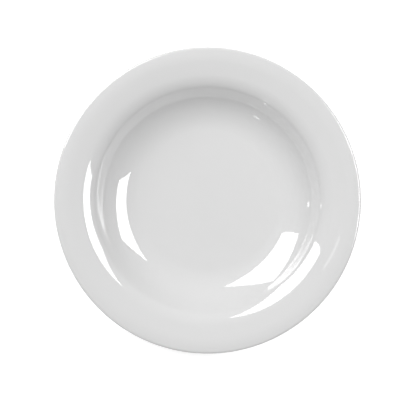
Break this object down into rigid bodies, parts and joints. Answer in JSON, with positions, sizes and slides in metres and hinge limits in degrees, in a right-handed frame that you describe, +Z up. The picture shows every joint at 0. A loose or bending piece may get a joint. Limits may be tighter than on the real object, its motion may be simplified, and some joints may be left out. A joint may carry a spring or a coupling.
{
  "type": "rimmed bowl",
  "caption": "Round wide-rimmed plastic bowl with a crowned rim, a rounded well and a low foot ring, glazed on the food side, for serving soup, pasta or salad.",
  "frame": {"origin": "centre of the foot ring, on the plane that the bowl stands on", "axes": "+Z up along the bowl's axis; X and Y lie in the plane that the bowl stands on"},
  "size_m": [0.23, 0.23, 0.0315],
  "materials": {
    "melamine_body": "moulded white melamine with a satin underside",
    "melamine_glaze": "glass-smooth, high-gloss melamine glaze that shows the white body under it"
  },
  "bodies": {
    "root": {"moulded_body": "melamine_body", "glaze_overlay": "melamine_glaze"}
  },
  "joints": []
}
